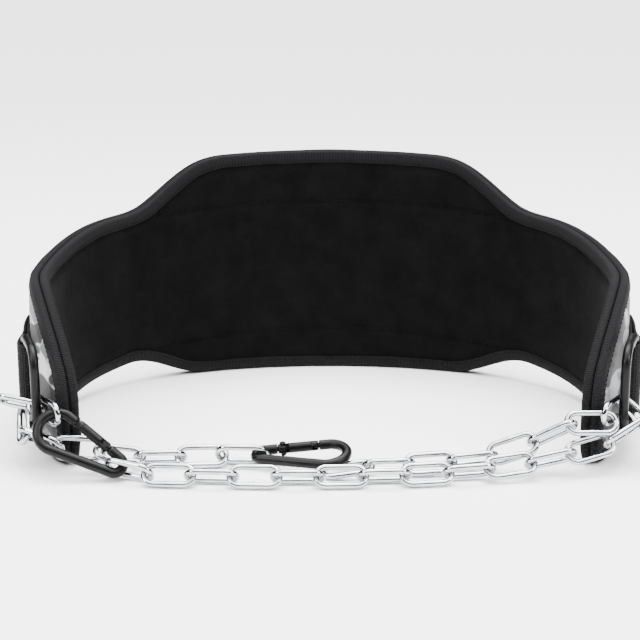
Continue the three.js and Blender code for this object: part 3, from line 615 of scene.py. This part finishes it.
def hook_axes(name):
    """Corner at the narrow tip and the hook's directions: long axis by the node's spread, its
    side by where the gate is, its end by which end is narrow."""
    centre = node_pose(f"{name}_frame")[0]
    spots = np.array([v.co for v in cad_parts[f"{name}_frame"].data.vertices]) * 1000
    spots -= np.array([FRAME_X, FRAME_Y, 0]) * 1000
    rivet = node_pose(f"{name}_rivet")[0]
    gate = np.array([v.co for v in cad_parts[f"{name}_gate"].data.vertices]) * 1000
    gate -= np.array([FRAME_X, FRAME_Y, 0]) * 1000
    gate_middle = (gate.min(0) + gate.max(0)) / 2
    flat = np.linalg.svd(spots - spots.mean(0), full_matrices=False)[2][2]
    towards = gate_middle - rivet
    towards -= flat * (towards @ flat)
    towards /= np.linalg.norm(towards)
    side = np.cross(flat, towards)
    if side @ (centre - rivet) > 0:
        side = -side
    turn = math.atan2(gate_way[1], gate_way[0])
    x_axis = towards * math.cos(turn) - side * math.sin(turn)
    y_axis = side * math.cos(turn) + towards * math.sin(turn)
    return rivet - x_axis * pivot[0] - y_axis * pivot[1], x_axis, y_axis


def on_gate(distance):
    """Point on the gate's line at a distance from its pivot, in the hook's own plane."""
    return pivot + gate_way * distance


def bar_end(start, stop, size, thickness):
    """Bevelled flat block along the gate's line, as points and faces."""
    side = np.array([-gate_way[1], gate_way[0], 0])
    points = []
    for distance in (start, stop):
        for a, b in ((-1, -0.7), (-0.7, -1), (0.7, -1), (1, -0.7), (1, 0.7), (0.7, 1),
                     (-0.7, 1), (-1, 0.7)):
            points.append(on_gate(distance) + side * size / 2 * a
                          + np.array([0, 0, thickness / 2 * b]))
    faces = [tuple(range(8))[::-1], tuple(range(8, 16))]
    faces += [(k, (k + 1) % 8, 8 + (k + 1) % 8, 8 + k) for k in range(8)]
    return np.array(points), faces


def cheek(start, stop, sign):
    """Half of a slotted rod: the part of the bar's circle beyond half the slot, drawn out, its
    end narrowed in three steps."""
    side = np.array([-gate_way[1], gate_way[0], 0])
    reach = math.asin(SLOT / HOOK_BAR)
    turn = np.linspace(reach, math.pi - reach, 15)
    outline_points = np.stack([HOOK_BAR * np.cos(turn), sign * HOOK_BAR * np.sin(turn)], -1)
    stations = [(start, 0.55), (start + 0.9, 0.85), (start + 2.2, 1.0), (stop, 1.0)]
    points = []
    for distance, narrow in stations:
        for a, b in outline_points:
            points.append(on_gate(distance) + side * a * narrow + np.array([0, 0, b]))
    count = len(outline_points)
    faces = [tuple(range(count)), tuple(range(3 * count, 4 * count))[::-1]]
    for row in range(3):
        for k in range(count):
            a, b = row * count + k, row * count + (k + 1) % count
            faces.append((a, b, b + count, a + count))
    return np.array(points), faces


def joined(parts):
    """Several sets of points and faces as one."""
    points, faces, offset = [], [], 0
    for part_points, part_faces in parts:
        points.append(part_points)
        faces += [tuple(k + offset for k in face) for face in part_faces]
        offset += len(part_points)
    return np.concatenate(points), faces


def placed(parts, corner, x_axis, y_axis):
    """Points from the hook's own plane to where the hook lies."""
    points, faces = joined(parts)
    z_axis = np.cross(x_axis, y_axis)
    return corner + points[:, :1] * x_axis + points[:, 1:2] * y_axis + points[:, 2:] * z_axis, faces


hook_path = [on_gate(24.9), on_gate(26.5)]
hook_path += [np.array([WIDE_X + WIDE_R * math.cos(t), WIDE_R * math.sin(t), 0])
              for t in np.linspace(math.pi / 2, -math.pi / 2, 30)]
hook_path += [np.array([x, -WIDE_R + (WIDE_R - NARROW_R) * (WIDE_X - x) / (WIDE_X - NARROW_R), 0])
              for x in np.linspace(WIDE_X, NARROW_R, 16)[1:-1]]
hook_path += [np.array([NARROW_R + NARROW_R * math.cos(t), NARROW_R * math.sin(t), 0])
              for t in np.linspace(-math.pi / 2, -1.5 * math.pi, 20)]
hook_path += [on_gate(-5.5), on_gate(-4.0)]
for name, gate_name in (("hook_middle", "middle_gate"), ("hook_left", "left_gate")):
    corner, x_axis, y_axis = hook_axes(name)
    frame_parts = [swept(hook_path, HOOK_BAR, 20, False, np.array([0, 0, 1.0])),
                   bar_end(20.4, 25.9, TONGUE_HEIGHT, TONGUE_THICKNESS),
                   bar_end(-5.0, 2.5, TONGUE_HEIGHT, TONGUE_THICKNESS)]
    points, faces = placed(frame_parts, corner, x_axis, y_axis)
    hook = make_object(f"{name}_bar", points, faces)
    finish_piece(hook, black, "black_steel", f"{name}_frame")
    rod = [on_gate(k) for k in (4.4, 4.41, 8, 12, 16, 19.6, 19.61)]
    gate_parts = [swept(rod, HOOK_BAR, 20, False, np.array([0, 0, 1.0])),
                  cheek(-3.4, 4.4, 1), cheek(-3.4, 4.4, -1)]
    ends = []
    for sign in (1, -1):
        points_end, faces_end = cheek(-24.3, -19.6, sign)
        mirrored = points_end - pivot
        along_gate = mirrored @ gate_way
        mirrored = mirrored - 2 * np.outer(along_gate, gate_way) + pivot
        ends.append((mirrored, [face[::-1] for face in faces_end]))
    points, faces = placed(gate_parts + ends, corner, x_axis, y_axis)
    gate = make_object(f"{gate_name}_rod", points, faces)
    finish_piece(gate, black, "black_steel", f"{name}_gate")
    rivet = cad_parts[f"{name}_rivet"]
    rivet.data.materials.clear()
    rivet.data.materials.append(black)

# ---------------------------------------------------------------- sewing
# Black polyester thread in short stitches holds the tapes along their free edge, presses the
# creases of the lining and closes each fold of the strap with a crossed box.
thread, shader = new_material("black sewing thread")
# Spun polyester thread: dull black.
shader.inputs["Base Color"].default_value = colour("#070708")
shader.inputs["Roughness"].default_value = 0.85
shader.inputs["Specular IOR Level"].default_value = 0.1


def stitches(name, starts, stops, outward, thick):
    """A six-sided pod for each stitch from its start to its stop, sunk at both ends."""
    starts, stops, outward = (np.asarray(v, float) for v in (starts, stops, outward))
    way = stops - starts
    way /= np.linalg.norm(way, axis=1)[:, None]
    side = np.cross(outward, way)
    angle = 2 * np.pi * np.arange(6) / 6
    shape = ((0.0, 0.35, -0.25), (0.3, 1.0, 0.1), (0.7, 1.0, 0.1), (1.0, 0.35, -0.25))
    points = []
    for part, width, lift in shape:
        middle = starts + (stops - starts) * part + outward * lift
        ring = side[:, None] * np.cos(angle)[:, None] + outward[:, None] * np.sin(angle)[:, None]
        points.append(middle[:, None] + ring * thick * width)
    points = np.stack(points, 1).reshape(-1, 3)
    faces = []
    for k in range(len(starts)):
        base = k * 24
        for row in range(3):
            for s in range(6):
                a, b = base + row * 6 + s, base + row * 6 + (s + 1) % 6
                faces.append((a, b, b + 6, a + 6))
        faces.append(tuple(range(base, base + 6))[::-1])
        faces.append(tuple(range(base + 18, base + 24)))
    piece = make_object(name, points, faces)
    piece.data.materials.append(thread)
    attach(piece, "belt")
    return piece


STITCH_STEP, STITCH, SEAM_INSET = 4.0, 3.0, 7.4
THREAD, STRAP_THREAD = 0.33, 0.4
for sign, name in ((1, "outer_binding_stitches"), (-1, "inner_binding_stitches")):
    begin = np.arange(2, run_length[-1] - 5, STITCH_STEP)
    ends = begin + STITCH
    rows_in = outline + inward * SEAM_INSET

    def at(distance):
        """Points of the stitch line at distances along the outline, on the tape's face."""
        x = np.interp(distance, run_length, rows_in[:, 0])
        z = np.interp(distance, run_length, rows_in[:, 1])
        return wall(x, sign * 7.35, z), wall(x, sign * 8.35, z)
    start_points, lifted = at(begin)
    stitches(name, start_points, at(ends)[0], lifted - start_points, THREAD)

for up, name in ((True, "upper_crease_stitches"), (False, "lower_crease_stitches")):
    begin = np.arange(-168, 165, 4.2)
    start_points = wall(begin, -6.75, seam_height(up, begin))
    stop_points = wall(begin + 3.2, -6.75, seam_height(up, begin + 3.2))
    stitches(name, start_points, stop_points, wall(begin, -7.75, seam_height(up, begin))
             - start_points, THREAD)

for sign, name in ((-1, "left_fold_stitches"), (1, "right_fold_stitches")):
    middle = 0.28 * BACK + 2.5
    box_corners = [(291, -20), (316, -20), (316, 20), (291, 20)]
    lines = [(box_corners[k], box_corners[(k + 1) % 4]) for k in range(4)]
    lines += [(box_corners[0], box_corners[2]), (box_corners[1], box_corners[3])]
    begin, end = [], []
    for (a0, h0), (a1, h1) in lines:
        count = int(math.hypot(a1 - a0, h1 - h0) / 3.8)
        for k in range(count):
            for share_along, store in ((k / count, begin), ((k + 0.74) / count, end)):
                store.append((a0 + (a1 - a0) * share_along, h0 + (h1 - h0) * share_along))
    begin, end = np.array(begin), np.array(end)
    start_points = wall(sign * begin[:, 0], 13.0, middle + begin[:, 1])
    stitches(name, start_points, wall(sign * end[:, 0], 13.0, middle + end[:, 1]),
             wall(sign * begin[:, 0], 14.0, middle + begin[:, 1]) - start_points, STRAP_THREAD)

# ---------------------------------------------------------------- floor, lights, camera
# The belt stands on a plain white studio floor under soft lights, seen from the photo's angle.
floor_low = min(cad_bounds[0][2], 0.0) - 0.0005
bpy.ops.mesh.primitive_plane_add(size=40, location=(0, 0, floor_low))
floor = bpy.context.object
floor.name = "floor"
paper, shader = new_material("white floor")
# Studio paper: plain matt white.
shader.inputs["Base Color"].default_value = colour("#ffffff")
shader.inputs["Roughness"].default_value = 0.9
floor.data.materials.append(paper)


def area_light(name, place, target, size, power):
    """Square soft light at a place, facing a target."""
    data = bpy.data.lights.new(name, "AREA")
    data.size = size
    data.energy = power
    lamp = bpy.data.objects.new(name, data)
    bpy.context.collection.objects.link(lamp)
    lamp.location = place
    lamp.rotation_euler = (Vector(target) - Vector(place)).to_track_quat("-Z", "Y").to_euler()


area_light("top light", (0.1, 0.2, 1.7), (0, 0, 0.05), 1.1, 52)
area_light("left light", (-1.3, -0.9, 1.0), (0, -0.1, 0.08), 0.45, 24)
area_light("right light", (1.3, -0.8, 0.9), (0, -0.1, 0.08), 0.45, 21)
world = bpy.data.worlds.new("studio")
world.use_nodes = True
# Studio: bright overhead, a dim band above the horizon that bright metal mirrors as dark lines.
tree = world.node_tree
direction = tree.nodes.new("ShaderNodeTexCoord")
parts = tree.nodes.new("ShaderNodeSeparateXYZ")
tree.links.new(direction.outputs["Generated"], parts.inputs["Vector"])
band = tree.nodes.new("ShaderNodeValToRGB")
tree.links.new(parts.outputs["Z"], band.inputs["Fac"])
levels = ((0.0, 0.25), (0.04, 0.01), (0.62, 0.01), (0.72, 0.9), (1.0, 1.0))
while len(band.color_ramp.elements) < len(levels):
    band.color_ramp.elements.new(0.5)
for element, (position, value) in zip(band.color_ramp.elements, levels):
    element.position = position
    element.color = (value, value, value, 1)
tree.links.new(band.outputs["Color"], tree.nodes["Background"].inputs["Color"])
tree.nodes["Background"].inputs["Strength"].default_value = 6.4
bpy.context.scene.world = world

lens = bpy.data.cameras.new("photo camera")
lens.lens = 85.0
lens.sensor_width = 36.0
lens.shift_x = -0.01235
lens.shift_y = 0.0016
camera = bpy.data.objects.new("photo camera", lens)
bpy.context.collection.objects.link(camera)
camera.location = (-0.0059 + FRAME_X, -1.2299 + FRAME_Y, 0.3508)
camera.rotation_euler = (math.radians(90 - 14.287), 0, math.radians(-0.247))
bpy.context.scene.camera = camera
